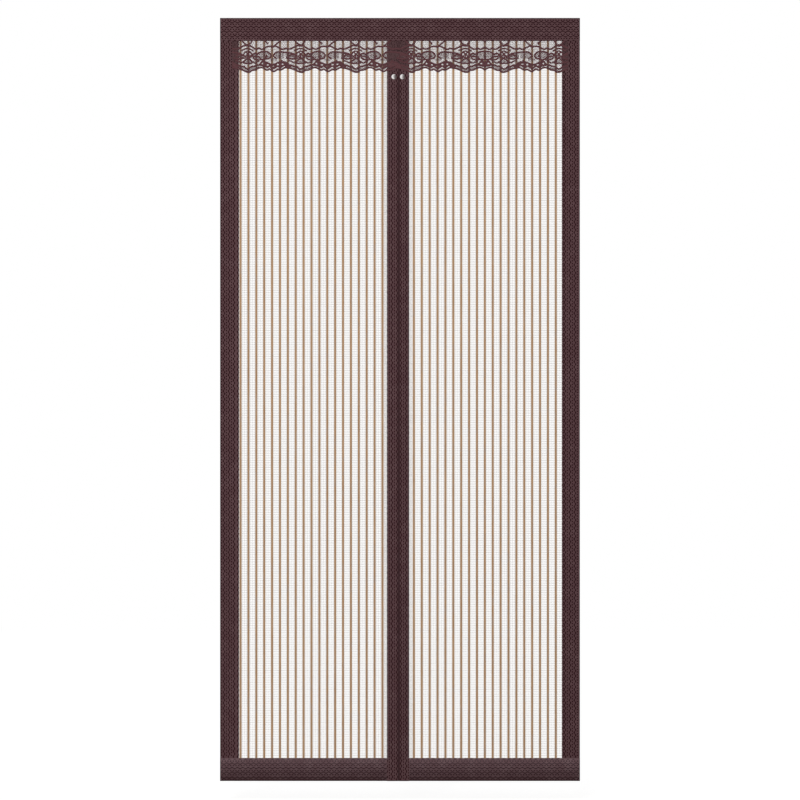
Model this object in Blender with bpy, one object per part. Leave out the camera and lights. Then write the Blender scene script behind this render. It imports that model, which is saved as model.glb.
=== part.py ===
# Insect screen for a doorway: two striped mesh panels edged with folded webbing, a lace
# valance along the top, and a magnet strip in each of the two bands that meet at the split.
# Metres. X runs to the right, the front faces -Y and Z runs up. The origin is the middle of
# the back face of the tape that the screen hangs from.
import math

import bmesh
import bpy
from mathutils import Vector

# Overall size
WIDTH = 0.990
HEIGHT = 2.100

# Room that touching layers of cloth keep between them
CLEARANCE = 0.0003

# Webbing ribbon folded over every edge
RIBBON_THICKNESS = 0.0006
TOP_BAND_DEPTH = 0.063
BOTTOM_BAND_DEPTH = 0.062
SIDE_BAND_WIDTH = 0.051
CENTRE_BAND_WIDTH = 0.0300
CLIMB_LENGTH = 0.006
TUNNEL_RISE = 0.0025
EDGE_TUCK = 0.004
FOLD_STEPS = 6

# The split between the two panels lies a little left of the middle
SPLIT_OFFSET = -0.005
SPLIT_GAP = 0.0003

# Mesh panels, with a woven stripe as a ridge on both faces
MESH_THICKNESS = 0.0004
RIDGE_RISE = 0.0002
RIDGE_WIDTH = 0.0062
RIDGE_SHOULDER = 0.0006
RIDGE_PITCH = 0.0217
HEM_WIDTH = 0.0100
MESH_TUCK = 0.0085
GAP_ROWS = 5
GAP_INSET = 0.0012
GAP_BAR = 0.012
GAP_LEAST_WIDTH = 0.005

# Magnet strips in the centre bands
STRIP_WIDTH = 0.014
STRIP_THICKNESS = 0.002
STRIP_INSET = 0.0045
STRIP_CHAMFER = 0.0003

# Lace valance
LACE_DROP = 0.0862
LACE_TUCK = 0.015
LACE_INSET = 0.0325
LACE_THICKNESS = 0.0005
SCALLOP_STEPS = 12

# Two-part rivets through the tops of the magnet strips
RIVET_BELOW_LACE = 0.0127
CAP_RADIUS = 0.007
CAP_HEIGHT = 0.0024
CAP_RIM = 0.0006
POST_RADIUS = 0.0022
BORE_RADIUS = 0.0013
DISC_RADIUS = 0.006
DISC_HEIGHT = 0.0009
RIVET_STEPS = 20
DOME_STEPS = 4

# Hanging tapes sewn to the back
TAPE_WIDTH = 0.020
TAPE_THICKNESS = 0.0010
TAPE_END_GAP = 0.010
TAPE_CHAMFER = 0.0002

# Lines that follow from the sizes
TOP_EDGE = TOP_BAND_DEPTH / 2
TOP_BAND_FOOT = TOP_EDGE - TOP_BAND_DEPTH
BOTTOM_EDGE = TOP_EDGE - HEIGHT
BOTTOM_BAND_HEAD = BOTTOM_EDGE + BOTTOM_BAND_DEPTH
HELD_TOP = TOP_EDGE - EDGE_TUCK
HELD_BOTTOM = BOTTOM_EDGE + EDGE_TUCK
LACE_FOOT = TOP_BAND_FOOT - LACE_DROP
RIVET_Z = LACE_FOOT - RIVET_BELOW_LACE

# Heights above the middle of the mesh: each layer lies clear of the one beneath it
RIDGE_TOP = MESH_THICKNESS / 2 + RIDGE_RISE
FIRST_LAYER = RIDGE_TOP + CLEARANCE
SECOND_LAYER = FIRST_LAYER + RIBBON_THICKNESS + CLEARANCE
THIRD_LAYER = SECOND_LAYER + RIBBON_THICKNESS + CLEARANCE
OVER_LACE = SECOND_LAYER + LACE_THICKNESS + CLEARANCE
TUNNEL = STRIP_THICKNESS / 2 + CLEARANCE
RIVET_SEAT = TUNNEL + RIBBON_THICKNESS + CLEARANCE
MESH_Y = -(THIRD_LAYER + TAPE_THICKNESS)

# Distances from the split edge of a centre band
STRIP_END = STRIP_INSET + STRIP_WIDTH
TUNNEL_END = STRIP_END + 3 * CLEARANCE
LEAF_START = TUNNEL_END + 5 * CLEARANCE
MESH_END = CENTRE_BAND_WIDTH - MESH_TUCK
RIVET_INSET = STRIP_INSET + STRIP_WIDTH / 2

# Places of the flowers along the lace, as shares of its length. The last two are mirrored.
FLOWERS = (0.047, 0.204, 0.368, 0.533, 0.694)
MIRRORED_FLOWERS = (0.810, 0.973)

# Windows in the lace, as corners in millimetres (right of the flower, below the top band),
# drawn on a repeat of this length and drop. Each repeat stretches them to its own.
DRAWN_REPEAT = 147
DRAWN_DROP = 86
REPEAT_WINDOWS = (
    [(16, 2), (44, 2), (56, 13), (46, 17.5), (32, 19), (9.5, 10)],
    [(52, 1.5), (90, 1.5), (77.5, 10), (69, 13), (59, 9)],
    [(98, 2), (127, 2), (136, 9), (126, 15.5), (116, 19), (101, 19.5), (87, 14)],
    [(20, 26), (39, 27), (35, 28.5), (25, 33), (20.5, 31)],
    [(49, 23.5), (56.5, 20), (69, 19.5), (76.5, 27), (69.5, 34), (60, 30), (49, 27)],
    [(78.5, 19.5), (90.5, 23), (104, 28), (92, 28.5), (77.5, 30)],
    [(110.5, 26.5), (126, 23), (128.5, 24), (124.5, 30.5), (112, 29)],
    [(26, 39.5), (36.5, 34.5), (45, 33), (52, 33.5), (48.5, 41), (43.5, 46.5), (35.5, 44)],
    [(78.5, 38), (85, 34), (100, 34), (102.5, 46.5), (83.5, 46.5), (76.5, 42)],
    [(109, 36), (127, 38), (132, 43), (118.5, 41.5)],
    [(11.5, 50.5), (16.5, 53), (25, 55.5), (22, 58.5), (15, 55)],
    [(52, 54), (64.5, 49), (76.5, 50), (92, 52.5), (91.5, 56), (77.5, 60), (64.5, 60.5), (54, 57)],
    [(109, 57), (118.5, 59), (126, 63), (122, 64.5), (115, 62.5)],
)
FLOWER_WINDOWS = (
    [(-9.5, 1.5), (7.5, 1.5), (0, 8)],
    [(-8.5, 37), (-5, 32), (-2, 33.5), (-2, 41.5), (-7, 40)],
    [(8.5, 37), (5, 32), (2, 33.5), (2, 41.5), (7, 40)],
    [(0, 48.5), (4, 48.5), (10.5, 57), (6, 59), (-5, 59), (-8.5, 57)],
    [(-15.5, 65), (0, 65), (17.5, 64), (21, 66.5), (11.5, 68), (2, 74), (-8.5, 67.5)],
)
EYELETS = ((42, 63), (70.5, 70), (98, 64.5))
EYELET_REACH = (3, 2)
WINDOW_MARGIN = 1.8
WINDOW_LEAST = 4


def clear_scene():
    for thing in list(bpy.data.objects):
        bpy.data.objects.remove(thing, do_unlink=True)


def plain_material(name, colour, roughness, metallic=0.0):
    material = bpy.data.materials.new(name)
    material.use_nodes = True
    shader = material.node_tree.nodes["Principled BSDF"]
    shader.inputs["Base Color"].default_value = (*colour, 1.0)
    shader.inputs["Roughness"].default_value = roughness
    shader.inputs["Metallic"].default_value = metallic
    return material


def make_object(name, bm, material, place=(0, 0, 0)):
    # Turns a bmesh into a named object that hangs under the screen's empty
    bmesh.ops.recalc_face_normals(bm, faces=bm.faces)
    mesh = bpy.data.meshes.new(name)
    bm.to_mesh(mesh)
    bm.free()
    mesh.materials.append(material)
    thing = bpy.data.objects.new(name, mesh)
    thing.location = place
    thing.parent = screen
    bpy.context.scene.collection.objects.link(thing)
    return thing


def cut(target, cutter):
    cutter.hide_render = True
    cutter.display_type = "WIRE"
    modifier = target.modifiers.new("Cut", "BOOLEAN")
    modifier.operation = "DIFFERENCE"
    modifier.solver = "EXACT"
    modifier.object = cutter


def fold_section(front, back):
    # Inner and outer paths of a folded ribbon as (distance from the fold, height). Each leaf
    # is a list of (distance, inner height) that starts at the fold.
    radius = (front[0][1] + back[0][1]) / 2
    lift = (front[0][1] - back[0][1]) / 2
    reach = radius + RIBBON_THICKNESS
    inner = []
    outer = []
    for distance, height in reversed(front):
        inner.append((max(distance, reach), height))
        outer.append((max(distance, reach), height + RIBBON_THICKNESS))
    for step in range(1, FOLD_STEPS):
        angle = math.pi * (0.5 - step / FOLD_STEPS)
        inner.append((reach - radius * math.cos(angle), lift + radius * math.sin(angle)))
        outer.append((reach - reach * math.cos(angle), lift + reach * math.sin(angle)))
    for distance, height in back:
        inner.append((max(distance, reach), -height))
        outer.append((max(distance, reach), -height - RIBBON_THICKNESS))
    return inner, outer


def folded_ribbon(name, corner, run, inward, stations):
    # Lofts a folded ribbon through its stations. Each station is (distance along the run,
    # front leaf, back leaf), and the fold lies on the line through the corner.
    bm = bmesh.new()
    rings = []
    for along, front, back in stations:
        inner, outer = fold_section(front, back)
        ring = []
        for path in (inner, outer):
            ring.append([
                bm.verts.new(run * along + inward * distance + Vector((0, -height, 0)))
                for distance, height in path
            ])
        rings.append(ring)
    last = len(rings[0][0]) - 1
    for (inner_a, outer_a), (inner_b, outer_b) in zip(rings, rings[1:]):
        for i in range(last):
            bm.faces.new((inner_a[i], inner_a[i + 1], inner_b[i + 1], inner_b[i]))
            bm.faces.new((outer_a[i + 1], outer_a[i], outer_b[i], outer_b[i + 1]))
        for i in (0, last):
            bm.faces.new((inner_a[i], outer_a[i], outer_b[i], inner_b[i]))
    for inner, outer in (rings[0], rings[-1]):
        for i in range(last):
            bm.faces.new((inner[i], inner[i + 1], outer[i + 1], outer[i]))
    thing = make_object(name, bm, webbing, (corner[0], MESH_Y, corner[1]))
    thing.data.shade_smooth()
    thing.data.set_sharp_from_angle(angle=math.radians(40))
    return thing


def flat_leaf(height, depth):
    return [(0, height), (depth, height)]


def top_band():
    front = flat_leaf(OVER_LACE, TOP_BAND_DEPTH)
    back = flat_leaf(SECOND_LAYER, TOP_BAND_DEPTH)
    stations = [(0, front, back), (WIDTH, front, back)]
    folded_ribbon("top_band", (-WIDTH / 2, TOP_EDGE), Vector((1, 0, 0)), Vector((0, 0, -1)), stations)


def side_band(side, sign):
    leaf = flat_leaf(FIRST_LAYER, SIDE_BAND_WIDTH)
    length = HELD_TOP - HELD_BOTTOM
    folded_ribbon(
        f"side_band_{side}", (sign * WIDTH / 2, HELD_BOTTOM),
        Vector((0, 0, 1)), Vector((-sign, 0, 0)), [(0, leaf, leaf), (length, leaf, leaf)],
    )


def bottom_band(side, sign):
    # Lies over the end of the side band, then steps down on to the mesh
    over_side = flat_leaf(SECOND_LAYER, BOTTOM_BAND_DEPTH)
    over_mesh = flat_leaf(FIRST_LAYER, BOTTOM_BAND_DEPTH)
    step = SIDE_BAND_WIDTH + CLEARANCE
    length = abs(split_edge(sign) + sign * MESH_END - sign * WIDTH / 2)
    stations = [
        (0, over_side, over_side),
        (step, over_side, over_side),
        (step + CLIMB_LENGTH, over_mesh, over_mesh),
        (length, over_mesh, over_mesh),
    ]
    folded_ribbon(
        f"bottom_band_{side}", (sign * WIDTH / 2, BOTTOM_EDGE),
        Vector((-sign, 0, 0)), Vector((0, 0, 1)), stations,
    )


def centre_band(side, sign):
    # Flat under the lace, then a tunnel round the magnet strip, and over the bottom band
    def station(z, tunnel, leaf):
        points = [(0, tunnel), (TUNNEL_END, tunnel), (LEAF_START, leaf), (CENTRE_BAND_WIDTH, leaf)]
        return BOTTOM_EDGE - z, points, points

    step = BOTTOM_BAND_HEAD + CLEARANCE
    stations = [
        station(HELD_TOP, FIRST_LAYER, FIRST_LAYER),
        station(strip_head() + TUNNEL_RISE, FIRST_LAYER, FIRST_LAYER),
        station(strip_head() + CLEARANCE, TUNNEL, FIRST_LAYER),
        station(step + CLIMB_LENGTH, TUNNEL, FIRST_LAYER),
        station(step, TUNNEL, SECOND_LAYER),
        station(BOTTOM_EDGE, TUNNEL, SECOND_LAYER),
    ]
    return folded_ribbon(
        f"centre_band_{side}", (split_edge(sign), BOTTOM_EDGE),
        Vector((0, 0, -1)), Vector((sign, 0, 0)), stations,
    )


def split_edge(sign):
    return SPLIT_OFFSET + sign * SPLIT_GAP / 2


def strip_head():
    return RIVET_Z + STRIP_WIDTH / 2


def box(name, low, high, material, chamfer):
    # A strip between two corners, with its long edges chamfered
    centre = (Vector(low) + Vector(high)) / 2
    size = Vector(high) - Vector(low)
    bm = bmesh.new()
    bmesh.ops.create_cube(bm, size=1.0)
    bmesh.ops.scale(bm, vec=size, verts=bm.verts)
    thing = make_object(name, bm, material, centre)
    bevel = thing.modifiers.new("Chamfer", "BEVEL")
    bevel.width = chamfer
    bevel.segments = 1
    return thing


def magnet_strip(side, sign):
    inner = split_edge(sign) + sign * STRIP_INSET
    outer = split_edge(sign) + sign * STRIP_END
    low = (min(inner, outer), MESH_Y - STRIP_THICKNESS / 2, HELD_BOTTOM)
    high = (max(inner, outer), MESH_Y + STRIP_THICKNESS / 2, strip_head())
    return box(f"magnet_strip_{side}", low, high, magnet, STRIP_CHAMFER)


def ridge_places(sign):
    # Distances of the stripes from the split edge
    visible_end = WIDTH / 2 - sign * split_edge(sign) - SIDE_BAND_WIDTH
    first = CENTRE_BAND_WIDTH + HEM_WIDTH + RIDGE_WIDTH / 2
    count = int((visible_end - first) / RIDGE_PITCH) + 1
    return [first + i * RIDGE_PITCH for i in range(count)], visible_end


def mesh_panel(side, sign):
    places, visible_end = ridge_places(sign)
    skin = MESH_THICKNESS / 2
    half = RIDGE_WIDTH / 2
    far_end = WIDTH / 2 - sign * split_edge(sign) - EDGE_TUCK
    face = [(MESH_END, skin)]
    for place in places:
        face += [(place - half, skin), (place - half + RIDGE_SHOULDER, RIDGE_TOP)]
        face += [(place + half - RIDGE_SHOULDER, RIDGE_TOP), (place + half, skin)]
    face.append((far_end, skin))
    section = face + [(distance, -height) for distance, height in reversed(face)]
    bm = bmesh.new()
    length = Vector((0, 0, HELD_TOP - HELD_BOTTOM))
    low = [bm.verts.new((sign * distance, -height, 0)) for distance, height in section]
    high = [bm.verts.new(vert.co + length) for vert in low]
    count = len(section)
    for i in range(count):
        j = (i + 1) % count
        bm.faces.new((low[i], low[j], high[j], high[i]))
    half_count = count // 2
    for ring in (low, high):
        for i in range(half_count - 1):
            bm.faces.new((ring[i], ring[i + 1], ring[count - 2 - i], ring[count - 1 - i]))
    panel = make_object(f"mesh_{side}", bm, mesh_cloth, (split_edge(sign), MESH_Y, HELD_BOTTOM))
    cut(panel, gap_cutter(side, sign, places, visible_end))


def gap_cutter(side, sign, places, visible_end):
    # One box for each gap between the stripes
    half = RIDGE_WIDTH / 2
    columns = [(a + half, b - half) for a, b in zip(places, places[1:])]
    if visible_end - places[-1] - half > GAP_LEAST_WIDTH:
        columns.append((places[-1] + half, visible_end))
    row_height = (TOP_BAND_FOOT - BOTTOM_BAND_HEAD - GAP_BAR) / GAP_ROWS
    bm = bmesh.new()
    for start, end in columns:
        for row in range(GAP_ROWS):
            foot = BOTTOM_BAND_HEAD + GAP_BAR + row * row_height - HELD_BOTTOM
            size = Vector((end - start - 2 * GAP_INSET, 8 * MESH_THICKNESS, row_height - GAP_BAR))
            middle = Vector((sign * (start + end) / 2, 0, foot + size.z / 2))
            made = bmesh.ops.create_cube(bm, size=1.0)["verts"]
            bmesh.ops.scale(bm, vec=size, verts=made)
            bmesh.ops.translate(bm, vec=middle, verts=made)
    return make_object(f"gap_cutter_{side}", bm, mesh_cloth, (split_edge(sign), MESH_Y, HELD_BOTTOM))


def scallop(phase):
    # Lower edge of the lace as a share of its drop: a deep lobe under each flower and a
    # shallower one between two flowers
    return 0.934 + 0.058 * math.cos(4 * math.pi * phase) + 0.008 * math.cos(2 * math.pi * phase)


def lace_repeats():
    # Each repeat is (place of its flower, signed length, first phase, last phase)
    left = -WIDTH / 2 + LACE_INSET
    length = WIDTH - 2 * LACE_INSET
    flowers = [left + share * length for share in FLOWERS]
    mirrored = [left + share * length for share in MIRRORED_FLOWERS]
    pitch = flowers[1] - flowers[0]
    turn = (mirrored[0] - flowers[-1]) / 2 / pitch
    repeats = [(flowers[0] - pitch, pitch, 1 - (flowers[0] - left) / pitch, 1)]
    repeats += [(a, b - a, 0, 1) for a, b in zip(flowers, flowers[1:])]
    repeats.append((flowers[-1], pitch, 0, turn))
    repeats.append((mirrored[0], -pitch, 0, turn))
    repeats.append((mirrored[1], mirrored[0] - mirrored[1], 0, 1))
    repeats.append((mirrored[1] + pitch, -pitch, 1 - (left + length - mirrored[1]) / pitch, 1))
    signed_flowers = [(x, pitch) for x in flowers] + [(x, -pitch) for x in mirrored]
    return repeats, signed_flowers


def lace_edge(repeats):
    # Points along the scalloped lower edge, from the left end to the right end
    points = []
    for place, length, first, last in repeats:
        steps = max(2, round((last - first) * SCALLOP_STEPS))
        phases = [first + (last - first) * i / steps for i in range(steps + 1)]
        if length < 0:
            phases.reverse()
        for phase in phases[:-1]:
            points.append((place + phase * length, TOP_BAND_FOOT - scallop(phase) * LACE_DROP))
    points.append((place + phases[-1] * length, TOP_BAND_FOOT - scallop(phases[-1]) * LACE_DROP))
    return points


def eyelet(right, below):
    across, down = EYELET_REACH
    return [(right - across, below), (right, below - down), (right + across, below), (right, below + down)]


def trimmed(corners, limit, side):
    # What a window keeps on one side of a line: side 1 keeps its right, -1 its left
    kept = []
    for (x, z), (next_x, next_z) in zip(corners, corners[1:] + corners[:1]):
        if side * (x - limit) >= 0:
            kept.append((x, z))
        if (x - limit) * (next_x - limit) < 0:
            kept.append((limit, z + (next_z - z) * (limit - x) / (next_x - x)))
    return kept


def lace_windows(repeats, flowers):
    # Corners (x, z) of every window. A repeat that is cut short trims the windows at its ends.
    windows = []
    for x, length, first, last in repeats:
        for corners in REPEAT_WINDOWS + tuple(eyelet(*place) for place in EYELETS):
            corners = trimmed(corners, first * DRAWN_REPEAT + WINDOW_MARGIN, 1)
            corners = trimmed(corners, last * DRAWN_REPEAT - WINDOW_MARGIN, -1)
            rights = [right for right, below in corners]
            if rights and max(rights) - min(rights) > WINDOW_LEAST:
                windows.append((x, length, corners))
    for x, length in flowers:
        windows += [(x, length, corners) for corners in FLOWER_WINDOWS]
    return [
        [
            (x + right * length / DRAWN_REPEAT, TOP_BAND_FOOT - below * LACE_DROP / DRAWN_DROP)
            for right, below in corners
        ]
        for x, length, corners in windows
    ]


def lace_valance():
    repeats, flowers = lace_repeats()
    edge = lace_edge(repeats)
    head = TOP_BAND_FOOT + LACE_TUCK
    outline = [(edge[0][0], head), (edge[-1][0], head)] + edge[::-1]
    bm = bmesh.new()
    for loop in [outline] + lace_windows(repeats, flowers):
        verts = [bm.verts.new((x, 0, z)) for x, z in loop]
        for a, b in zip(verts, verts[1:] + verts[:1]):
            bm.edges.new((a, b))
    bmesh.ops.triangle_fill(bm, edges=bm.edges, use_beauty=True, normal=(0, -1, 0))
    grown = bmesh.ops.extrude_face_region(bm, geom=bm.faces[:])["geom"]
    moved = [part for part in grown if isinstance(part, bmesh.types.BMVert)]
    bmesh.ops.translate(bm, vec=(0, -LACE_THICKNESS, 0), verts=moved)
    make_object("lace_valance", bm, lace, (0, MESH_Y - SECOND_LAYER, 0))


def turned(name, profile, material, place):
    # Spins a closed profile of (radius, height above the mesh) round the Y axis
    bm = bmesh.new()
    verts = [bm.verts.new((radius, -height, 0)) for radius, height in profile]
    edges = [bm.edges.new(pair) for pair in zip(verts, verts[1:])]
    bmesh.ops.spin(
        bm, geom=verts + edges, cent=(0, 0, 0), axis=(0, 1, 0),
        angle=2 * math.pi, steps=RIVET_STEPS, use_merge=True,
    )
    bmesh.ops.remove_doubles(bm, verts=bm.verts, dist=0.00001)
    thing = make_object(name, bm, material, place)
    thing.data.shade_smooth()
    thing.data.set_sharp_from_angle(angle=math.radians(40))
    return thing


def rivet(side, sign, band, strip):
    # A domed cap with a hollow post in front, and a disc with a pin behind
    place = (split_edge(sign) + sign * RIVET_INSET, MESH_Y, RIVET_Z)
    dome = []
    for step in range(DOME_STEPS + 1):
        angle = math.pi / 2 * step / DOME_STEPS
        rise = (CAP_HEIGHT - CAP_RIM) * math.cos(angle)
        dome.append((CAP_RADIUS * math.sin(angle), RIVET_SEAT + CAP_RIM + rise))
    dome += [
        (CAP_RADIUS - CAP_RIM / 2, RIVET_SEAT),
        (POST_RADIUS, RIVET_SEAT),
        (POST_RADIUS, CLEARANCE - RIVET_SEAT),
        (BORE_RADIUS, CLEARANCE - RIVET_SEAT),
        (BORE_RADIUS, TUNNEL),
        (0, TUNNEL),
    ]
    turned(f"rivet_cap_{side}", dome, steel, place)
    pin_radius = BORE_RADIUS - CLEARANCE
    disc = [
        (0, TUNNEL - CLEARANCE),
        (pin_radius, TUNNEL - CLEARANCE),
        (pin_radius, -RIVET_SEAT),
        (DISC_RADIUS, -RIVET_SEAT),
        (DISC_RADIUS, -RIVET_SEAT - DISC_HEIGHT / 3),
        (DISC_RADIUS * 0.75, -RIVET_SEAT - DISC_HEIGHT),
        (0, -RIVET_SEAT - DISC_HEIGHT),
    ]
    turned(f"rivet_back_{side}", disc, steel, place)
    hole_reach = 2 * RIVET_SEAT
    hole_radius = POST_RADIUS + CLEARANCE
    hole = [(0, hole_reach), (hole_radius, hole_reach), (hole_radius, -hole_reach), (0, -hole_reach)]
    cutter = turned(f"rivet_hole_{side}", hole, steel, place)
    cut(band, cutter)
    cut(strip, cutter)


def hanging_tapes():
    top_seat = MESH_Y + THIRD_LAYER
    half_length = WIDTH / 2 - TAPE_END_GAP
    half_width = TAPE_WIDTH / 2
    low = (-half_length, top_seat, -half_width)
    high = (half_length, top_seat + TAPE_THICKNESS, half_width)
    box("hanging_tape_top", low, high, tape, TAPE_CHAMFER)
    side_seat = MESH_Y + SECOND_LAYER
    head = TOP_BAND_FOOT - TAPE_END_GAP
    foot = BOTTOM_BAND_HEAD + CLIMB_LENGTH + TAPE_END_GAP
    for side, sign in SIDES:
        x = sign * (WIDTH - SIDE_BAND_WIDTH) / 2
        low = (x - half_width, side_seat, foot)
        high = (x + half_width, side_seat + TAPE_THICKNESS, head)
        box(f"hanging_tape_{side}", low, high, tape, TAPE_CHAMFER)


clear_scene()
screen = bpy.data.objects.new("insect_screen", None)
bpy.context.scene.collection.objects.link(screen)

webbing = plain_material("brown_webbing", (0.067, 0.034, 0.036), 0.85)
mesh_cloth = plain_material("striped_mesh", (0.75, 0.70, 0.64), 0.80)
lace = plain_material("brown_lace", (0.110, 0.060, 0.055), 0.85)
steel = plain_material("nickel_plate", (0.75, 0.76, 0.78), 0.25, 1.0)
magnet = plain_material("flexible_magnet", (0.030, 0.030, 0.032), 0.60)
tape = plain_material("hook_tape", (0.060, 0.040, 0.040), 0.90)

SIDES = (("left", -1), ("right", 1))
top_band()
lace_valance()
for side, sign in SIDES:
    mesh_panel(side, sign)
    side_band(side, sign)
    bottom_band(side, sign)
    band = centre_band(side, sign)
    strip = magnet_strip(side, sign)
    rivet(side, sign, band, strip)
hanging_tapes()
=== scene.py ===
import math

import bpy
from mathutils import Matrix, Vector
from mathutils.bvhtree import BVHTree


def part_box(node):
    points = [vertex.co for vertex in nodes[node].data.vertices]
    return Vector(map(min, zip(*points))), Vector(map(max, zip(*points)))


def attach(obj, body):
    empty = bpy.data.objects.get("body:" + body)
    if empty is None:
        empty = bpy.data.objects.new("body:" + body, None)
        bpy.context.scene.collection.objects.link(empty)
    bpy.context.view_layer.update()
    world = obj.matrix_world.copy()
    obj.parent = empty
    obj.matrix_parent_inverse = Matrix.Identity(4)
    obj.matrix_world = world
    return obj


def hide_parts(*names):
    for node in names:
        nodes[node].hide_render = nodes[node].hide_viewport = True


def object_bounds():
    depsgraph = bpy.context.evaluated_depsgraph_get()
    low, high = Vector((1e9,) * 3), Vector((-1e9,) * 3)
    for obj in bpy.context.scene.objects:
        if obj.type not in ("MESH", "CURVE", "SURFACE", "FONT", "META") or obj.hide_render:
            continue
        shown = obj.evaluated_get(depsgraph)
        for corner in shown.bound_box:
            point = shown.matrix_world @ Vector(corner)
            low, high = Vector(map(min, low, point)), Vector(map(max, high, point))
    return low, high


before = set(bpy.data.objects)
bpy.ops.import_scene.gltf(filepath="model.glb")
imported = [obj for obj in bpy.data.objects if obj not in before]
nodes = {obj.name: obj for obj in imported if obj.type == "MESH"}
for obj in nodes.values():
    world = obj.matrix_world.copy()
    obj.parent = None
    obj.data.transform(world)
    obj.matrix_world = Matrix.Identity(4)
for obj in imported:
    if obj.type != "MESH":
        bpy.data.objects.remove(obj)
cadLow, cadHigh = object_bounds()
meshY = (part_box("mesh_left")[0].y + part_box("mesh_left")[1].y) / 2
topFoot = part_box("top_band")[0].z
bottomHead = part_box("bottom_band_left")[1].z
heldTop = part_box("mesh_left")[1].z
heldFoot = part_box("mesh_left")[0].z
splitEdges = {"left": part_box("centre_band_left")[1].x, "right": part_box("centre_band_right")[0].x}
print("frame loaded:", len(nodes), "nodes")


# Small tools

def pick(*pieces):
    # Leaves only these pieces selected, the first one active
    if bpy.context.object and bpy.context.object.mode != "OBJECT":
        bpy.ops.object.mode_set(mode="OBJECT")
    bpy.ops.object.select_all(action="DESELECT")
    for piece in pieces:
        piece.select_set(True)
    bpy.context.view_layer.objects.active = pieces[0]


def settle(piece):
    # Puts the place, turn and size of a piece into its mesh
    pick(piece)
    bpy.ops.object.transform_apply(location=True, rotation=True, scale=True)
    return piece


def editAll(piece):
    # Opens edit mode with everything selected
    pick(piece)
    bpy.ops.object.mode_set(mode="EDIT")
    bpy.ops.mesh.select_all(action="SELECT")


def editFaces(piece, test):
    # Opens edit mode with only the faces that pass the test selected
    pick(piece)
    bpy.ops.object.mode_set(mode="EDIT")
    bpy.ops.mesh.select_mode(type="FACE")
    bpy.ops.mesh.select_all(action="DESELECT")
    bpy.ops.object.mode_set(mode="OBJECT")
    for face in piece.data.polygons:
        face.select = test(face)
    bpy.ops.object.mode_set(mode="EDIT")


def leaveEdit():
    bpy.ops.object.mode_set(mode="OBJECT")


def turnOutward(piece):
    editAll(piece)
    bpy.ops.mesh.normals_make_consistent(inside=False)
    leaveEdit()


def repeat(piece, count, step, weld=False):
    # Array along a fixed step, applied
    if count < 2:
        return
    modifier = piece.modifiers.new("Repeat", "ARRAY")
    modifier.count = count
    modifier.use_relative_offset = False
    modifier.use_constant_offset = True
    modifier.constant_offset_displace = step
    modifier.use_merge_vertices = weld
    modifier.merge_threshold = 0.00002
    pick(piece)
    bpy.ops.object.modifier_apply(modifier=modifier.name)


def joinAll(pieces, name):
    pick(*pieces)
    if len(pieces) > 1:
        bpy.ops.object.join()
    pieces[0].name = name
    pieces[0].data.name = name
    return pieces[0]


def linked(thing):
    bpy.context.scene.collection.objects.link(thing)
    return thing


def copyOf(piece):
    twin = piece.copy()
    twin.data = piece.data.copy()
    return linked(twin)


def ownMaterial(piece, material):
    piece.data.materials.clear()
    piece.data.materials.append(material)


def justMade(name, material):
    # The piece that was added last, with its name and material
    piece = bpy.context.object
    piece.name = name
    ownMaterial(piece, material)
    return piece


# Node tools

def startMaterial(name, roughness, metallic=0.0):
    material = bpy.data.materials.new(name)
    material.use_nodes = True
    tree = material.node_tree
    shader = tree.nodes["Principled BSDF"]
    shader.inputs["Roughness"].default_value = roughness
    shader.inputs["Metallic"].default_value = metallic
    place = tree.nodes.new("ShaderNodeTexCoord").outputs["Object"]
    return material, tree, shader, place


def feed(tree, socket, value):
    if isinstance(value, (int, float)):
        socket.default_value = value
    elif isinstance(value, tuple):
        socket.default_value = (*value, 1.0)
    else:
        tree.links.new(value, socket)


def calc(tree, operation, *values):
    node = tree.nodes.new("ShaderNodeMath")
    node.operation = operation
    for socket, value in zip(node.inputs, values):
        feed(tree, socket, value)
    return node.outputs[0]


def blendColour(tree, share, first, second):
    node = tree.nodes.new("ShaderNodeMix")
    node.data_type = "RGBA"
    feed(tree, node.inputs[0], share)
    feed(tree, node.inputs[6], first)
    feed(tree, node.inputs[7], second)
    return node.outputs[2]


def remap(tree, value, low, high, newLow=0.0, newHigh=1.0, smooth=False):
    node = tree.nodes.new("ShaderNodeMapRange")
    if smooth:
        node.interpolation_type = "SMOOTHSTEP"
    feed(tree, node.inputs[0], value)
    for index, number in enumerate((low, high, newLow, newHigh)):
        node.inputs[index + 1].default_value = number
    return node.outputs[0]


def laid(tree, colour, tint, mask, low, high, share, smooth=False):
    # Lays a share of a tint over a colour, more where the mask nears its high value
    return blendColour(tree, remap(tree, mask, low, high, 0.0, share, smooth), colour, tint)


def stretched(tree, place, scale):
    node = tree.nodes.new("ShaderNodeMapping")
    tree.links.new(place, node.inputs["Vector"])
    node.inputs["Scale"].default_value = scale
    return node.outputs[0]


def noise(tree, place, scale, detail=3.0, roughness=0.5):
    node = tree.nodes.new("ShaderNodeTexNoise")
    tree.links.new(place, node.inputs["Vector"])
    node.inputs["Scale"].default_value = scale
    node.inputs["Detail"].default_value = detail
    node.inputs["Roughness"].default_value = roughness
    return node.outputs["Fac"]


def ripple(tree, value, pitch):
    # A smooth 0 to 1 wave of a given pitch in metres
    turned = calc(tree, "MULTIPLY", value, 2 * math.pi / pitch)
    return calc(tree, "MULTIPLY_ADD", calc(tree, "SINE", turned), 0.5, 0.5)


def bumpTo(tree, shader, height, finish):
    bump = tree.nodes.new("ShaderNodeBump")
    bump.inputs["Distance"].default_value = finish["grain"]
    bump.inputs["Strength"].default_value = finish["bump"]
    tree.links.new(height, bump.inputs["Height"])
    tree.links.new(bump.outputs["Normal"], shader.inputs["Normal"])


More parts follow.
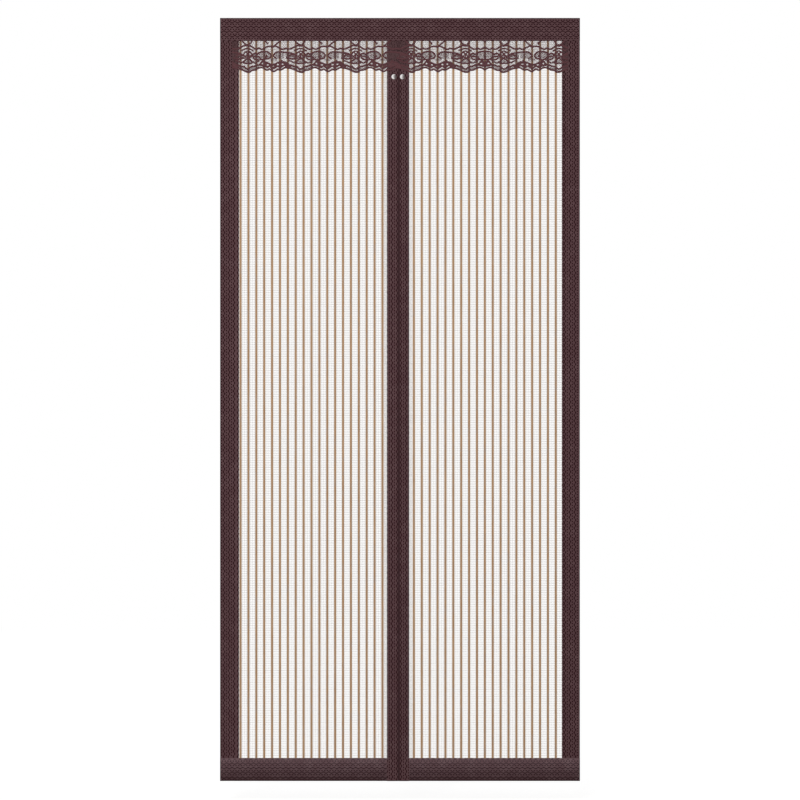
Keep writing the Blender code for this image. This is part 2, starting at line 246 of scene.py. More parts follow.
def axes(tree, place):
    node = tree.nodes.new("ShaderNodeSeparateXYZ")
    tree.links.new(place, node.inputs[0])
    return node.outputs


# Materials

webbingFinish = {
    "roughness": 0.82,
    "ground": (0.108, 0.060, 0.065),
    "hollow": (0.068, 0.031, 0.035),
    "light": (0.134, 0.078, 0.083),
    "dark": (0.022, 0.007, 0.009),
    "ribPitch": 0.00106,
    "yarnPitch": 0.00084,
    "yarnShare": 0.6,
    "patchScale": 38.0,
    "patchShare": 0.45,
    "speckScale": 900.0,
    "speckShare": 0.35,
    "sheen": 0.04,
    "grain": 0.00012,
    "bump": 0.7,
    "edgeLine": 0.0020,  # a dark line woven along the screen's outer edge, carried over the folds there as painted shade
    "edgeShare": 0.9,
    "splitShadeShare": 0.70,
}
clothGloss = 0.06
sheenRoughness = 0.5


def clothLook(tree, shader, colour, sheen, height, finish):
    # Cloth has hardly any gloss
    tree.links.new(colour, shader.inputs["Base Color"])
    shader.inputs["Specular IOR Level"].default_value = clothGloss
    shader.inputs["Sheen Weight"].default_value = sheen
    shader.inputs["Sheen Roughness"].default_value = sheenRoughness
    bumpTo(tree, shader, height, finish)


def paintedLightToShade(tree, colour, z, gains):
    # Multiplies a colour by one tint at the higher place and by another at the lower: painted light at the
    # head of a bottom band and painted shade at its foot
    high, low, tintHigh, tintLow = gains
    node = tree.nodes.new("ShaderNodeVectorMath")
    node.operation = "MULTIPLY"
    feed(tree, node.inputs[0], colour)
    feed(tree, node.inputs[1], blendColour(tree, remap(tree, z, high, low), tintHigh, tintLow))
    return node.outputs[0]


def webbingMaterial(name, run, gains=None, zone=None):
    # Ribbed ribbon. run is the axis number that the ribbon runs along, and zone the x of a strip of painted
    # shade beside the split.
    finish = webbingFinish
    material, tree, shader, place = startMaterial(name, finish["roughness"])
    xyz = axes(tree, place)
    ribs = ripple(tree, xyz[run], finish["ribPitch"])
    yarns = ripple(tree, xyz[2 - run], finish["yarnPitch"])
    yarnShare = finish["yarnShare"]
    weave = calc(tree, "MULTIPLY", ribs, calc(tree, "MULTIPLY_ADD", yarns, yarnShare, 1 - yarnShare))
    patch = noise(tree, place, finish["patchScale"], 4.0, 0.6)
    speck = noise(tree, place, finish["speckScale"], 2.0, 0.6)
    colour = blendColour(tree, remap(tree, weave, 0.0, 0.8), finish["hollow"], finish["ground"])
    colour = laid(tree, colour, finish["light"], patch, 0.40, 0.72, finish["patchShare"], True)
    colour = laid(tree, colour, finish["hollow"], speck, 0.55, 0.75, finish["speckShare"])
    # Painted light and shade from head to foot
    if gains:
        colour = paintedLightToShade(tree, colour, xyz[2], gains)
    # Darker at the screen's outer edge: a woven dark line, and painted shade over the folds
    outward = calc(tree, "SUBTRACT", calc(tree, "ABSOLUTE", xyz[0]), cadHigh.x)
    for beyond in (calc(tree, "SUBTRACT", xyz[2], cadHigh.z), calc(tree, "SUBTRACT", cadLow.z, xyz[2])):
        outward = calc(tree, "MAXIMUM", outward, beyond)
    edge = finish["edgeLine"]
    colour = laid(tree, colour, finish["dark"], outward, -edge, -edge * 0.7, finish["edgeShare"])
    if zone:
        # Painted shade in the gap and over the folds at the split, partly the ribbon's own dark edge line
        aside = calc(tree, "ABSOLUTE", calc(tree, "SUBTRACT", xyz[0], (zone[0] + zone[1]) / 2))
        halfWidth = abs(zone[1] - zone[0]) / 2
        strip = remap(tree, aside, halfWidth * 0.85, halfWidth, finish["splitShadeShare"], 0.0)
        colour = blendColour(tree, strip, colour, finish["dark"])
    clothLook(tree, shader, colour, finish["sheen"], weave, finish)
    return material


yarnFinish = {"roughness": 0.75, "patchScale": 240.0, "grain": 0.00008, "bump": 0.6}


def yarnMaterial(name, dark, light, pitch, sheen, gains=None):
    # Twisted thread: slanting plies in a darker and a lighter tone
    finish = yarnFinish
    material, tree, shader, place = startMaterial(name, finish["roughness"])
    xyz = axes(tree, place)
    plies = ripple(tree, calc(tree, "ADD", xyz[0], xyz[2]), pitch)
    patch = noise(tree, place, finish["patchScale"], 3.0, 0.6)
    share = calc(tree, "MULTIPLY", plies, remap(tree, patch, 0.3, 0.7, 0.55, 1.0))
    colour = blendColour(tree, share, dark, light)
    # Painted light and shade from head to foot
    if gains:
        colour = paintedLightToShade(tree, colour, xyz[2], gains)
    clothLook(tree, shader, colour, sheen, plies, finish)
    return material


stripeFinish = {
    "roughness": 0.78,
    "low": (0.355, 0.212, 0.116),
    "high": (0.535, 0.345, 0.200),
    "cool": (0.370, 0.295, 0.250),
    "hollow": (0.200, 0.110, 0.060),
    "streakStretch": (1400.0, 1.0, 9.0),
    "coolStretch": (160.0, 1.0, 34.0),
    "coolShare": 0.65,
    "twistPitch": 0.0011,
    "twistShare": 0.16,
    "sheen": 0.04,
    "grain": 0.00006,
    "bump": 0.5,
}


def stripeMaterial():
    # Tan yarns of the woven stripes, each a little different along its length
    finish = stripeFinish
    material, tree, shader, place = startMaterial("stripeYarn", finish["roughness"])
    streak = noise(tree, stretched(tree, place, finish["streakStretch"]), 1.0, 3.0, 0.6)
    cool = noise(tree, stretched(tree, place, finish["coolStretch"]), 1.0, 4.0, 0.65)
    xyz = axes(tree, place)
    twist = ripple(tree, calc(tree, "ADD", xyz[0], xyz[2]), finish["twistPitch"])
    share = remap(tree, streak, 0.3, 0.7, smooth=True)
    colour = blendColour(tree, share, finish["low"], finish["high"])
    colour = laid(tree, colour, finish["cool"], cool, 0.46, 0.68, finish["coolShare"], True)
    share = remap(tree, twist, 0.0, 1.0, finish["twistShare"], 0.0)
    colour = blendColour(tree, share, colour, finish["hollow"])
    clothLook(tree, shader, colour, finish["sheen"], twist, finish)
    return material


threadFinish = {"roughness": 0.7, "toneScale": 120.0, "grainScale": 3000.0, "grain": 0.00003, "bump": 0.4}


def threadMaterial(name, low, high):
    # Thin thread of the open mesh
    finish = threadFinish
    material, tree, shader, place = startMaterial(name, finish["roughness"])
    tone = noise(tree, place, finish["toneScale"], 3.0, 0.6)
    colour = blendColour(tree, remap(tree, tone, 0.3, 0.7), low, high)
    clothLook(tree, shader, colour, 0.0, noise(tree, place, finish["grainScale"]), finish)
    return material


nickelFinish = {
    "roughness": (0.24, 0.38),
    "bright": (0.90, 0.88, 0.87),
    "dull": (0.76, 0.74, 0.73),
    "markScale": 700.0,
    "grain": 0.00002,
    "bump": 0.4,
}


def nickelMaterial():
    finish = nickelFinish
    smoothest, roughest = finish["roughness"]
    material, tree, shader, place = startMaterial("nickelPlate", smoothest, 1.0)
    marks = noise(tree, place, finish["markScale"], 4.0, 0.7)
    tone = blendColour(tree, remap(tree, marks, 0.35, 0.7), finish["bright"], finish["dull"])
    tree.links.new(tone, shader.inputs["Base Color"])
    tree.links.new(remap(tree, marks, 0.3, 0.7, smoothest, roughest), shader.inputs["Roughness"])
    bumpTo(tree, shader, marks, finish)
    return material


magnetFinish = {
    "roughness": 0.55,
    "low": (0.022, 0.022, 0.024),
    "high": (0.060, 0.058, 0.058),
    "dustScale": 260.0,
    "grain": 0.00006,
    "bump": 0.6,
}


def magnetMaterial():
    finish = magnetFinish
    material, tree, shader, place = startMaterial("magnetRubber", finish["roughness"])
    dust = noise(tree, place, finish["dustScale"], 4.0, 0.7)
    colour = blendColour(tree, remap(tree, dust, 0.4, 0.75), finish["low"], finish["high"])
    tree.links.new(colour, shader.inputs["Base Color"])
    bumpTo(tree, shader, dust, finish)
    return material


tapeFinish = {
    "roughness": 0.7,
    "low": (0.022, 0.014, 0.015),
    "high": (0.085, 0.060, 0.062),
    "hookPitch": 0.0019,
    "rowPitch": 0.0016,
    "fuzzScale": 1200.0,
    "fuzzShare": 0.35,
    "sheen": 0.05,
    "grain": 0.00025,
    "bump": 0.8,
}


def tapeMaterial(name, run):
    # Woven back of a hook tape: rows of small hooks in a plain weave
    finish = tapeFinish
    material, tree, shader, place = startMaterial(name, finish["roughness"])
    xyz = axes(tree, place)
    along = ripple(tree, xyz[run], finish["hookPitch"])
    across = ripple(tree, xyz[2 - run], finish["rowPitch"])
    knots = calc(tree, "MULTIPLY", along, across)
    fuzz = noise(tree, place, finish["fuzzScale"], 3.0, 0.7)
    height = calc(tree, "ADD", knots, calc(tree, "MULTIPLY", fuzz, finish["fuzzShare"]))
    colour = blendColour(tree, remap(tree, height, 0.1, 1.0), finish["low"], finish["high"])
    clothLook(tree, shader, colour, finish["sheen"], height, finish)
    return material


splitShadeStrip = (-0.0058, 0.0002)  # x beside the split, darkened as painted shade of the gap and the fold, partly the ribbon's own dark edge line
# Painted light at the head of the bottom bands and painted shade at their foot, on the ribbon and on its
# pattern yarn
bottomLightShadeGains = (bottomHead, cadLow.z, (1.55, 1.78, 1.78), (0.62, 0.62, 0.62))
footYarnLightShadeGains = (bottomHead, cadLow.z, (2.40, 6.50, 5.50), (0.70, 0.60, 0.60))
sideWebbing = webbingMaterial("sideWebbing", 2)
centreWebbing = webbingMaterial("centreWebbing", 2, zone=splitShadeStrip)
topWebbing = webbingMaterial("topWebbing", 0)
bottomWebbing = webbingMaterial("bottomWebbing", 0, bottomLightShadeGains)
patternYarn = yarnMaterial("patternYarn", (0.012, 0.001, 0.002), (0.022, 0.004, 0.006), 0.0009, 0.0)
footYarn = yarnMaterial(
    "footYarn", (0.013, 0.002, 0.003), (0.024, 0.006, 0.008), 0.0009, 0.0, footYarnLightShadeGains
)
sewingThread = yarnMaterial("sewingThread", (0.085, 0.047, 0.051), (0.135, 0.082, 0.088), 0.0006, 0.05)
laceYarn = yarnMaterial("laceYarn", (0.070, 0.026, 0.030), (0.126, 0.056, 0.061), 0.0010, 0.03)
netYarn = yarnMaterial("netYarn", (0.100, 0.053, 0.057), (0.162, 0.088, 0.092), 0.0006, 0.03)
clothYarn = yarnMaterial("clothYarn", (0.074, 0.030, 0.034), (0.128, 0.060, 0.065), 0.0007, 0.03)
stripeYarn = stripeMaterial()
lightThread = threadMaterial("lightThread", (0.60, 0.52, 0.45), (0.78, 0.70, 0.63))
heavyThread = threadMaterial("heavyThread", (0.13, 0.075, 0.040), (0.22, 0.140, 0.085))
hemThread = threadMaterial("hemThread", (0.17, 0.125, 0.095), (0.29, 0.225, 0.175))
paleHemThread = threadMaterial("paleHemThread", (0.41, 0.355, 0.315), (0.58, 0.525, 0.475))
nickel = nickelMaterial()
magnetRubber = magnetMaterial()
topTape = tapeMaterial("topTapeWeave", 0)
sideTape = tapeMaterial("sideTapeWeave", 2)
print("materials made")


# Mesh panels

panelCut = {
    "stripePitch": 0.0217,
    "firstStripe": 0.0431,
    "stripeCount": 19,
    "yarns": 8,
    "yarnWidth": 0.00079,
    "yarnHalfThickness": 0.00022,
    "threadPitch": 0.0217 / 12,
    "rowPitch": 0.0065 / 3,
    "lightRadius": 0.000030,
    "heavyUpright": 0.000170,
    "heavyRow": 0.000255,
    "layer": 0.00008,
    "innerEnd": 0.0215,
    "hemEnd": 0.0400,
    "hemRadius": 0.000066,
    "hemLayers": ((0.00045, 0.00018), (0.00120, -0.00018)),  # sideways shift and depth of each
    "endGap": 0.001,
    "cover": 0.60,  # what the open threads measure as a share of the cut
}


def thread(name, low, high, radius, material, sides=5):
    # One round thread between two points
    low = Vector(low)
    high = Vector(high)
    upright = abs(high.z - low.z) > abs(high.x - low.x)
    bpy.ops.mesh.primitive_cylinder_add(
        vertices=sides, radius=radius, depth=(high - low).length, location=(low + high) / 2,
        rotation=(0, 0, 0) if upright else (0, math.pi / 2, 0),
    )
    return settle(justMade(name, material))


def threadGroup(low, high, step, reach, kinds):
    # Threads of the given kinds by turns, a step apart. A kind is a radius and a material.
    step = Vector(step)
    count = round(abs(reach) / step.length) if step.x else int(reach / step.length)
    parts = []
    for index, (radius, material) in enumerate(kinds):
        shift = step * index
        parts.append(thread("thread", Vector(low) + shift, Vector(high) + shift, radius, material))
    unit = joinAll(parts, "threads")
    repeat(unit, count // len(parts), step * len(parts))
    return unit


def stripes(split, sign):
    # Close yarns side by side, one bundle repeated across the panel
    cut = panelCut
    width = cut["yarnWidth"]
    start = split + sign * (cut["firstStripe"] - width * (cut["yarns"] - 1) / 2)
    foot, top = (start, meshY, heldFoot), (start, meshY, heldTop)
    yarn = thread("stripeYarns", foot, top, width / 2, stripeYarn, 8)
    editAll(yarn)
    flatten = cut["yarnHalfThickness"] / (width / 2)
    bpy.ops.transform.resize(value=(1, flatten, 1), center_override=(start, meshY, 0))
    leaveEdit()
    repeat(yarn, cut["yarns"], (sign * width, 0, 0))
    repeat(yarn, cut["stripeCount"], (sign * cut["stripePitch"], 0, 0))
    return yarn


def meshPanel(side, sign):
    cut = panelCut
    node = f"mesh_{side}"
    low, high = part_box(node)
    split = splitEdges[side]
    inner = split + sign * cut["innerEnd"]
    hemEnd = split + sign * cut["hemEnd"]
    outer = low.x if sign < 0 else high.x
    first = split + sign * (cut["firstStripe"] - cut["stripePitch"])
    light = (cut["lightRadius"], lightThread)
    hemKinds = ((cut["hemRadius"], hemThread if sign < 0 else paleHemThread),) * 3
    sideStep = (sign * cut["threadPitch"], 0, 0)
    riseStep = (0, 0, cut["rowPitch"])
    height = heldTop - heldFoot
    gap = cut["endGap"]
    front = meshY - cut["layer"]
    back = meshY + cut["layer"]
    parts = [
        stripes(split, sign),
        threadGroup(
            (first, front, heldFoot), (first, front, heldTop), sideStep, outer - inner,
            ((cut["heavyUpright"], heavyThread), light, light),
        ),
        threadGroup(
            (inner, back, heldFoot + gap), (outer, back, heldFoot + gap), riseStep, height - 2 * gap,
            ((cut["heavyRow"], heavyThread), light, light),
        ),
    ]
    for shift, depth in cut["hemLayers"]:
        x = inner + sign * shift
        y = meshY + depth
        z = heldFoot + shift
        parts.append(threadGroup((x, y, heldFoot), (x, y, heldTop), sideStep, hemEnd - inner, hemKinds))
        parts.append(threadGroup((inner, y, z), (hemEnd, y, z), riseStep, height - 3 * gap, hemKinds))
    panel = joinAll(parts, f"meshPanel.{side}")
    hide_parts(node)
    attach(panel, "root")
    print("mesh panel", side, len(panel.data.polygons), "faces")


meshPanel("left", -1)
meshPanel("right", 1)


# Webbing: flat ribbon folded lengthwise over each edge

ribbonCut = {
    "thickness": 0.0006,
    "runStep": 0.00742,
    "foldSteps": 6,
    "edgeWave": 0.00025,
    "closeUp": 0.00016,  # the two centre folds meet, held by the magnets
    "nearFold": 0.0024,
    "lookAside": (0, 0.0045, -0.0045),
    "boxMargin": 0.00005,
}

right = Vector((1, 0, 0))
up = Vector((0, 0, 1))
edgeX = cadHigh.x
# Distances from the fold. The two side ribbons are folded a little off their middle.
leafPoints = {
    "top": (0.0120, 0.0250, 0.0380, 0.0510, 0.0622, 0.0630),
    "sideLeft": (0.0120, 0.0250, 0.0380, 0.0511, 0.0519),
    "sideRight": (0.0120, 0.0250, 0.0380, 0.0485, 0.0493),
    "bottom": (0.0120, 0.0250, 0.0380, 0.0500, 0.0621, 0.0629),
    "centreLeft": (0.0050, 0.0110, 0.0190, 0.0196, 0.0210, 0.0298, 0.0306),
    "centreRight": (0.0050, 0.0110, 0.0190, 0.0196, 0.0210, 0.0292, 0.0300),
}


bendLines = {}


def surfaceTree(piece):
    corners = [vertex.co for vertex in piece.data.vertices]
    return BVHTree.FromPolygons(corners, [face.vertices[:] for face in piece.data.polygons])


def depthAt(tree, x, z, facing):
    # Y of the outer face of a band, seen from the front (-1) or from the back (1)
    for aside in ribbonCut["lookAside"]:
        hit = tree.ray_cast(Vector((x, facing * 0.1, z + aside)), Vector((0, -facing, 0)))[0]
        if hit and (hit.y - meshY) * facing > 0:
            return hit.y
    return None


def insideBox(place, low, high):
    margin = ribbonCut["boxMargin"]
    x = min(max(place.x, low.x + margin), high.x - margin)
    z = min(max(place.z, low.z + margin), high.z - margin)
    return x, z


def foldedRibbon(node, kind, start, run, inward, length, material, closeUp=0):
    # The grid is the flat cut. Its middle goes round the fold and its halves lie on the two faces.
    cut = ribbonCut
    tree = surfaceTree(nodes[node])
    low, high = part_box(node)
    leaf = leafPoints[kind]
    runSteps = max(8, round(length / cut["runStep"]))
    quarter = cut["foldSteps"] // 2
    rows = list(range(-len(leaf) - quarter, len(leaf) + quarter + 1))
    bpy.ops.mesh.primitive_grid_add(x_subdivisions=runSteps, y_subdivisions=len(rows) - 1, size=1)
    ribbon = justMade(f"ribbon.{node}", material)
    flat = 0
    bends = set()
    for vertex in ribbon.data.vertices:
        atMiddle = abs(vertex.co.x) * runSteps < 0.6
        along = (vertex.co.x + 0.5) * length
        row = rows[round((vertex.co.y + 0.5) * (len(rows) - 1))]
        nearFold = start + run * along + inward * cut["nearFold"]
        x, z = insideBox(nearFold, low, high)
        front = depthAt(tree, x, z, -1)
        back = depthAt(tree, x, z, 1)
        radius = (back - front) / 2
        flat = max(flat, 2 * (leaf[-1] + radius * (math.pi / 2 - 1)))
        if abs(row) <= quarter:
            angle = row / quarter * math.pi / 2
            across = radius * (1 - math.cos(angle))
            depth = (front + back) / 2 - radius * math.sin(angle)
        else:
            across = leaf[abs(row) - quarter - 1]
            x, z = insideBox(start + run * along + inward * across, low, high)
            depth = depthAt(tree, x, z, -1 if row > 0 else 1)
        if abs(row) == rows[-1]:
            across += cut["edgeWave"] * math.cos(math.pi * vertex.co.x * runSteps)
        across -= closeUp * (1 - across / leaf[-1])
        if atMiddle and 0 < row < rows[-1]:
            bends.add(round(across, 5))
        vertex.co = start + run * along + inward * across
        vertex.co.y = depth
    bendLines[ribbon.name] = sorted(bends)
    turnOutward(ribbon)
    faceOut = sum(face.normal.y * (face.center.y - meshY) for face in ribbon.data.polygons) > 0
    wall = ribbon.modifiers.new("Wall", "SOLIDIFY")
    wall.thickness = cut["thickness"]
    wall.offset = -1 if faceOut else 1
    bpy.ops.object.modifier_apply(modifier="Wall")
    bpy.ops.object.shade_smooth_by_angle(angle=math.radians(40))
    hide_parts(node)
    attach(ribbon, "root")
    return ribbon


# Woven pattern and sewing on the webbing

pattern = {
    "period": 0.01479,
    "segments": 8,
    "amplitude": 0.0021,
    "lineWidth": 0.0031,
    "swell": (0.66, 0.62),  # the line's width at its crossings, and what it gains at its turns
    "rise": 0.00019,
    "sink": 0.00003,
    "dotLength": 0.0038,
    "dotWidth": 0.0036,
    "peakLength": 0.0060,
    "peakWidth": 0.0026,
    "stitchPitch": 0.0034,
    "stitchLength": 0.0026,
    "stitchWidth": 0.0005,
    "stitchRise": 0.00022,
    "barCrown": (0.7, 0.6),  # length and width of the top as shares of the foot's
    "stitchCrown": (0.7, 0.5),
    "edgeClear": 0.0001,
}

# Rows are distances from the ribbon's fold. A peak row is a wave that the ribbon's edge or fold
# cuts off, and its number is the share of the period by which it is shifted.
bandRows = {
    "top": {
        "waves": (0.0123, 0.0250, 0.0380, 0.0508), "dots": (0.0066, 0.0180, 0.0316, 0.0450, 0.0568),
        "peaks": ((0.0014, 0.5), (0.0618, 0.0)), "stitch": 0.0600,
    },
    "sideLeft": {
        "waves": (0.0107, 0.0246, 0.0384, 0.0493), "dots": (0.0040, 0.0176, 0.0315), "peaks": (),
        "stitch": 0.0452,
    },
    "sideRight": {
        "waves": (0.0137, 0.0274, 0.0412), "dots": (0.0069, 0.0206, 0.0344, 0.0453), "peaks": (),
        "stitch": 0.0478,
    },
    "bottom": {
        "waves": (0.0096, 0.0234, 0.0358, 0.0482), "dots": (0.0041, 0.0175, 0.0289, 0.0427, 0.0551),
        "peaks": ((0.0605, 0.0),), "stitch": 0.0612,
    },
    "centreLeft": {
        "waves": (0.0031, 0.0170), "dots": (0.0101, 0.0239), "peaks": ((0.0290, 0.0),),
        "stitch": 0.0268,
    },
    "centreRight": {
        "waves": (0.0077, 0.0215), "dots": (0.0146, 0.0282), "peaks": (),
        "stitch": 0.0256,
    },
}


def lowBar(name, length, width, rise, crown, material):
    # A low bar along X with its top drawn in
    bpy.ops.mesh.primitive_cube_add(size=1, location=(length / 2, 0, rise / 2), scale=(length, width, rise))
    bar = settle(justMade(name, material))
    editFaces(bar, lambda face: face.normal.z > 0.5)
    bpy.ops.transform.resize(value=(crown[0], crown[1], 1), center_override=(length / 2, 0, rise))
    leaveEdit()
    return bar


def ridge(name, step, count, width, rise, material):
    # A long low ridge made of short lengths, so that it can bend
    bar = lowBar(name, step, width, rise, (1, 0), material)
    editFaces(bar, lambda face: abs(face.normal.x) > 0.5)
    bpy.ops.mesh.delete(type="FACE")
    bpy.ops.mesh.select_all(action="SELECT")
    bpy.ops.mesh.remove_doubles(threshold=0.00001)
    leaveEdit()
    repeat(bar, count, (step, 0, 0), True)
    editFaces(bar, lambda face: False)
    bpy.ops.mesh.select_mode(type="EDGE")
    bpy.ops.mesh.select_non_manifold()
    bpy.ops.mesh.fill_holes(sides=6)
    bpy.ops.mesh.select_all(action="SELECT")
    bpy.ops.mesh.normals_make_consistent(inside=False)
    leaveEdit()
    return bar


def bentToWaves(piece, period, amplitude, phase):
    narrow, gain = pattern["swell"]
    for vertex in piece.data.vertices:
        sway = math.cos(2 * math.pi * (vertex.co.x - phase) / period)
        vertex.co.y = vertex.co.y * (narrow + gain * abs(sway)) + amplitude * sway


def rowsOf(piece, offsets):
    # The piece itself on the first row, and a copy on each other row
    rows = [piece] + [copyOf(piece) for offset in offsets[1:]]
    for row, offset in zip(rows, offsets):
        row.location.y = offset
        settle(row)
    return rows


def cutAcross(piece, distances):
    # Cuts a flat pattern along the lines where the band under it bends
    pick(piece)
    bpy.ops.object.mode_set(mode="EDIT")
    for distance in distances:
        bpy.ops.mesh.select_all(action="SELECT")
        bpy.ops.mesh.bisect(plane_co=(0, distance, 0), plane_no=(0, 1, 0))
    leaveEdit()


def layOnBand(piece, ribbon, tree, start, run, inward, facing, reach):
    # Lays a flat pattern on a band: X goes along the run and Y in from the folded edge
    low = Vector(map(min, zip(*ribbon.bound_box)))
    high = Vector(map(max, zip(*ribbon.bound_box)))
    for vertex in piece.data.vertices:
        along, across, height = vertex.co
        x, z = insideBox(start + run * along + inward * min(across, reach), low, high)
        surface = depthAt(tree, x, z, facing)
        vertex.co = (x, surface + facing * (height - pattern["sink"]), z)
    turnOutward(piece)


def barRow(name, length, width, pitch, middle, reach, offsets, yarn):
    # Rows of low bars. middle is the place of a bar's middle along the run.
    bar = lowBar(name, length, width, pattern["rise"], pattern["barCrown"], yarn)
    first = (middle - length / 2) % pitch
    repeat(bar, int((reach - first - length) / pitch) + 1, (pitch, 0, 0))
    bar.location.x = first
    settle(bar)
    return rowsOf(bar, offsets)


def bandPattern(ribbon, kind, start, run, inward, length, phase, yarn):
    rows = bandRows[kind]
    shape = pattern
    tree = surfaceTree(ribbon)
    period = shape["period"]
    step = period / shape["segments"]
    wave = ridge("wave", step, int(length / step), shape["lineWidth"], shape["rise"], yarn)
    bentToWaves(wave, period, -shape["amplitude"], phase)
    made = rowsOf(wave, rows["waves"])
    made += barRow(
        "dot", shape["dotLength"], shape["dotWidth"], period / 2, phase + period / 4, length,
        rows["dots"], yarn
    )
    for offset, shift in rows["peaks"]:
        middle = phase + shift * period
        made += barRow(
            "peak", shape["peakLength"], shape["peakWidth"], period, middle, length, (offset,), yarn
        )
    stitch = lowBar(
        "stitch", shape["stitchLength"], shape["stitchWidth"], shape["stitchRise"], shape["stitchCrown"],
        sewingThread,
    )
    repeat(stitch, int(length / shape["stitchPitch"]), (shape["stitchPitch"], 0, 0))
    made += rowsOf(stitch, (rows["stitch"],))
    front = joinAll(made, "pattern")
    if kind.startswith("centre"):
        cutAcross(front, bendLines[ribbon.name])
    back = copyOf(front)
    reach = leafPoints[kind][-1] - ribbonCut["edgeWave"] - shape["edgeClear"]
    layOnBand(front, ribbon, tree, start, run, inward, -1, reach)
    layOnBand(back, ribbon, tree, start, run, inward, 1, reach)
    whole = joinAll([front, back], ribbon.name.replace("ribbon", "pattern"))
    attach(whole, "root")
    print("ribbon", ribbon.name, len(ribbon.data.polygons), "faces, its pattern", len(whole.data.polygons))


# How far the first wave crest of each pattern is from its start
wavePhase = {
    "top_band": 0.0104, "side_band_left": 0.0168, "side_band_right": 0.0169, "bottom_band_left": 0.0101,
    "bottom_band_right": 0.0027, "centre_band_left": 0.0133, "centre_band_right": 0.0058,
}
bandGap = 0.0006  # what a pattern stays clear of a band that crosses it
endGap = 0.0005
footGap = 0.0004
bottomGap = 0.0087


def band(node, kind, corner, run, inward, length, first, last, material, yarn, closeUp=0):
    # A folded ribbon, and its pattern from first to last along it
    ribbon = foldedRibbon(node, kind, corner, run, inward, length, material, closeUp)
    bandPattern(ribbon, kind, corner + run * first, run, inward, last - first, wavePhase[node], yarn)


underTop = heldTop - topFoot + bandGap
overBottom = heldTop - bottomHead - bandGap
overFoot = heldTop - cadLow.z - footGap
corner = Vector((-edgeX, 0, cadHigh.z))
band("top_band", "top", corner, right, -up, 2 * edgeX, endGap, 2 * edgeX - endGap, topWebbing, patternYarn)
for side, sign in (("left", -1), ("right", 1)):
    end = side.capitalize()
    inward = -sign * right
    low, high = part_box(f"bottom_band_{side}")
    width = high.x - low.x
    band(
        f"side_band_{side}", f"side{end}", Vector((sign * edgeX, 0, heldTop)), -up, inward,
        heldTop - heldFoot, underTop, overBottom, sideWebbing, patternYarn,
    )
    band(
        f"bottom_band_{side}", "bottom", Vector((sign * edgeX, 0, cadLow.z)), inward, up,
        width, endGap, width - bottomGap, bottomWebbing, footYarn,
    )
    band(
        f"centre_band_{side}", f"centre{end}", Vector((splitEdges[side], 0, heldTop)), -up, -inward,
        heldTop - cadLow.z, underTop, overFoot, centreWebbing, patternYarn, ribbonCut["closeUp"],
    )


# Lace

lace = {
    "unit": 0.00008776,
    "datum": -0.02355,
    "flowers": (-0.4193, -0.2738, -0.1222, 0.0303, 0.1797),
    "mirrored": (0.2869, 0.4376),
    "tail": 490,
    "body": 1200,
    "cordY": -0.00540,
    "cordThickness": 0.00064,
    "netY": -0.00522,
    "netRadius": 0.000136,
    "netPitch": 0.0014,
    "netSlope": 1.5,
    "netSample": 0.0004,
    "patchY": -0.00528,
    "patchRadius": 0.00017,
    "patchPitch": 0.0013,
    "patchSlope": 1.2,
    "clothY": -0.00530,
    "clothThickness": 0.00030,
    "clothLeast": 0.01,
    "lastPitch": 0.1517,
    "knotGap": 0.0012,
    "eyeletSides": 10,
    "curveSteps": 3,
    "tuck": 0.001,
    "headerFoot": 0.0004,
}

